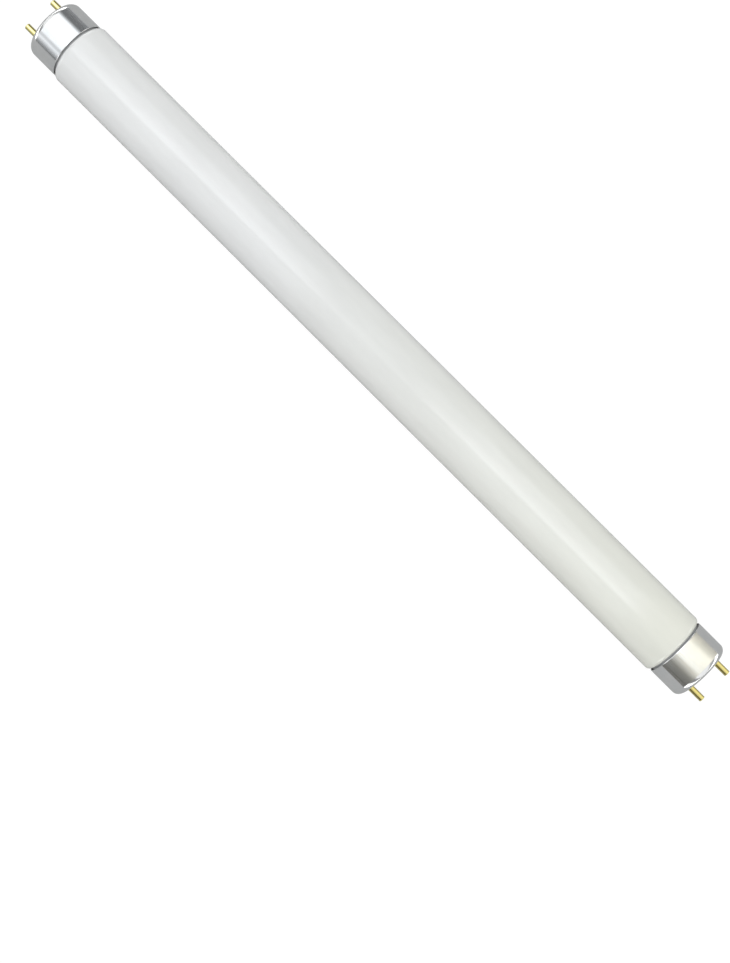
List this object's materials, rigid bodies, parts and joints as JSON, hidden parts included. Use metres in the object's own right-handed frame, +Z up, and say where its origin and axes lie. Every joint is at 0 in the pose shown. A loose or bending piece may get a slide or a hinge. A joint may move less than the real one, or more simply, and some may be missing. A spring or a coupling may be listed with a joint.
{
  "type": "fluorescent tube",
  "caption": "Straight fluorescent lamp: white coated glass tube with a bright metal cap and two brass pins on each end.",
  "frame": {"origin": "on the surface that the lamp lies on, straight below its middle", "axes": "+X along the lamp's axis towards its right end, +Y across the two pins of each cap, +Z up"},
  "size_m": [0.3436, 0.025, 0.025],
  "materials": {
    "coated_glass": "clear gloss glass tube, opaque white from the powder coat inside it",
    "cap_aluminium": "bright drawn aluminium, with faint draw lines",
    "phenolic": "dark brown moulded phenolic, dull satin",
    "basing_cement": "baked basing cement, matt",
    "pin_brass": "bright drawn brass",
    "lead_wire": "bright nickel-plated wire"
  },
  "bodies": {
    "root": {"glass_tube": "coated_glass", "left_end_cap": "cap_aluminium", "left_insulating_plate": "phenolic", "left_cap_cement": "basing_cement", "left_front_pin": "pin_brass", "left_front_lead_wire": "lead_wire", "left_rear_pin": "pin_brass", "left_rear_lead_wire": "lead_wire", "right_end_cap": "cap_aluminium", "right_insulating_plate": "phenolic", "right_cap_cement": "basing_cement", "right_front_pin": "pin_brass", "right_front_lead_wire": "lead_wire", "right_rear_pin": "pin_brass", "right_rear_lead_wire": "lead_wire"}
  },
  "joints": []
}
